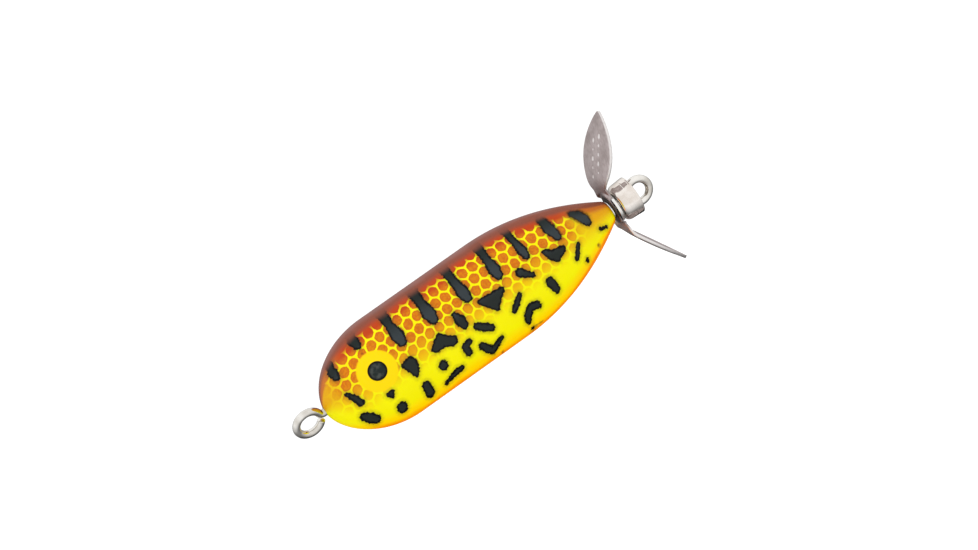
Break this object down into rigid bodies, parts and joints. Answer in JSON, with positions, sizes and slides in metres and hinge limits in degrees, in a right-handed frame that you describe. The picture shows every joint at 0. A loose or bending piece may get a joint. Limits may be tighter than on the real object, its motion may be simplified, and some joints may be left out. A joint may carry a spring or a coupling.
{
  "type": "propeller topwater fishing lure",
  "caption": "Torpedo-shaped floating surface lure with a line eye in the nose and a free-spinning two-bladed tail propeller, washers and bell cup on the shank of a tail eye.",
  "frame": {"origin": "centre of the nose eye, where the line is tied", "axes": "+X along the lure's axis from the nose to the tail, +Z out of its dark back, -Y out of its left flank"},
  "size_m": [0.0596, 0.015, 0.0234],
  "materials": {
    "painted_body": "moulded plastic, airbrushed yellow, orange and brown with a black-marked scale pattern under clear gloss",
    "nickel_wire": "bright nickel-plated steel wire",
    "bell_metal": "bright nickel-plated pressed cup",
    "washer_metal": "bright plated washers",
    "blade_metal": "stamped sheet, satin bright",
    "ballast_steel": "plain cut bar"
  },
  "bodies": {
    "body": {"left_body_half": "painted_body", "right_body_half": "painted_body", "ballast_slug": "ballast_steel", "nose_screw_eye": "nickel_wire", "tail_screw_eye": "nickel_wire"},
    "front_washer": {"front_washer": "washer_metal"},
    "propeller": {"propeller": "blade_metal"},
    "rear_washer": {"rear_washer": "washer_metal"},
    "bell": {"bell_cup": "bell_metal"}
  },
  "joints": [
    {"name": "front_washer_spin", "type": "hinge", "parent": "body", "child": "front_washer", "pos_m": [0.0503, 0, 0], "axis": [1, 0, 0], "continuous": true},
    {"name": "propeller_spin", "type": "hinge", "parent": "body", "child": "propeller", "pos_m": [0.05065, 0, 0], "axis": [1, 0, 0], "continuous": true},
    {"name": "rear_washer_spin", "type": "hinge", "parent": "body", "child": "rear_washer", "pos_m": [0.05107, 0, 0], "axis": [1, 0, 0], "continuous": true},
    {"name": "bell_spin", "type": "hinge", "parent": "body", "child": "bell", "pos_m": [0.0525, 0, 0], "axis": [1, 0, 0], "continuous": true}
  ]
}
